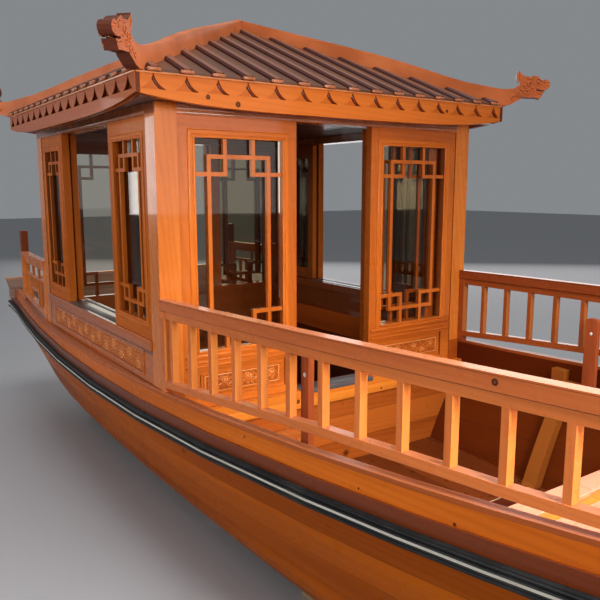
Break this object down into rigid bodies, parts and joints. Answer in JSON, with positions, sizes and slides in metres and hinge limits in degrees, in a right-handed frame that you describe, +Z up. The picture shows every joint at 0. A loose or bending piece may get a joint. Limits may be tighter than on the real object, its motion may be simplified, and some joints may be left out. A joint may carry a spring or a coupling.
{
  "type": "pavilion pleasure boat",
  "caption": "Small varnished wooden river boat with a hip-roofed lattice-windowed pavilion, an open railed cockpit and a short stern deck, on its bearers.",
  "frame": {"origin": "centre of the whole boat in plan, on the ground under its bearers", "axes": "+X towards the bow (the railed cockpit end), +Y to port, +Z up; the bearers stand on z = 0"},
  "size_m": [6.5, 2.6438, 2.851],
  "materials": {
    "hull": "varnished pine planking",
    "trim": "glossy varnished pine",
    "dark_wood": "dark stained wood",
    "deck": "oiled deck boards",
    "fender": "black rubber",
    "strip": "cream plastic strip",
    "glass": "clear pane"
  },
  "bodies": {
    "boat": {"hull": "hull", "gunwale_cap": "trim", "toe_plank": "hull", "rub_plank": "dark_wood", "fender": "fender", "fender_strip": "strip", "bearers": "dark_wood", "cabin_floor": "deck", "cockpit_floor": "deck", "bulkhead_fore": "hull", "bulkhead_aft": "hull", "stern_deck": "deck", "bow_deck": "deck", "sill_ring": "hull", "cabin_frame": "trim", "wall_fore_starboard": "trim", "wall_fore_starboard_glass": "glass", "wall_fore_port": "trim", "wall_fore_port_glass": "glass", "wall_aft_starboard": "trim", "wall_aft_starboard_glass": "glass", "wall_aft_port": "trim", "wall_aft_port_glass": "glass", "apron_starboard": "hull", "apron_port": "hull", "side_starboard_aft": "trim", "side_starboard_aft_glass": "glass", "side_starboard_fore": "trim", "side_starboard_fore_glass": "glass", "side_port_aft": "trim", "side_port_aft_glass": "glass", "side_port_fore": "trim", "side_port_fore_glass": "glass", "roof_slope_fore": "dark_wood", "roof_slope_aft": "dark_wood", "roof_slope_port": "dark_wood", "roof_slope_starboard": "dark_wood", "hip_ridges": "trim", "eave_fascia": "trim", "soffit": "dark_wood", "cockpit_rail_starboard": "trim", "cockpit_rail_port": "trim", "stern_rail_starboard": "trim", "stern_rail_port": "trim", "fore_platform": "deck", "cockpit_steps": "hull", "side_frame_starboard": "dark_wood", "side_frame_port": "dark_wood"},
    "fore_door": {"door_fore": "trim", "door_fore_glass": "glass"},
    "aft_door": {"door_aft": "trim", "door_aft_glass": "glass"},
    "starboard_aft_sash": {"sash_starboard_aft": "trim", "sash_starboard_aft_glass": "glass"},
    "starboard_fore_sash": {"sash_starboard_fore": "trim", "sash_starboard_fore_glass": "glass"},
    "port_aft_sash": {"sash_port_aft": "trim", "sash_port_aft_glass": "glass"},
    "port_fore_sash": {"sash_port_fore": "trim", "sash_port_fore_glass": "glass"}
  },
  "joints": [
    {"name": "fore_door_slide", "type": "slide", "parent": "boat", "child": "fore_door", "axis": [0, -1, 0], "range_m": [0, 0.529]},
    {"name": "aft_door_slide", "type": "slide", "parent": "boat", "child": "aft_door", "axis": [0, -1, 0], "range_m": [0, 0.529]},
    {"name": "starboard_aft_sash_slide", "type": "slide", "parent": "boat", "child": "starboard_aft_sash", "axis": [1, 0, 0], "range_m": [0, 0.425]},
    {"name": "starboard_fore_sash_slide", "type": "slide", "parent": "boat", "child": "starboard_fore_sash", "axis": [-1, 0, 0], "range_m": [0, 0.425]},
    {"name": "port_aft_sash_slide", "type": "slide", "parent": "boat", "child": "port_aft_sash", "axis": [1, 0, 0], "range_m": [0, 0.425]},
    {"name": "port_fore_sash_slide", "type": "slide", "parent": "boat", "child": "port_fore_sash", "axis": [-1, 0, 0], "range_m": [0, 0.425]}
  ]
}
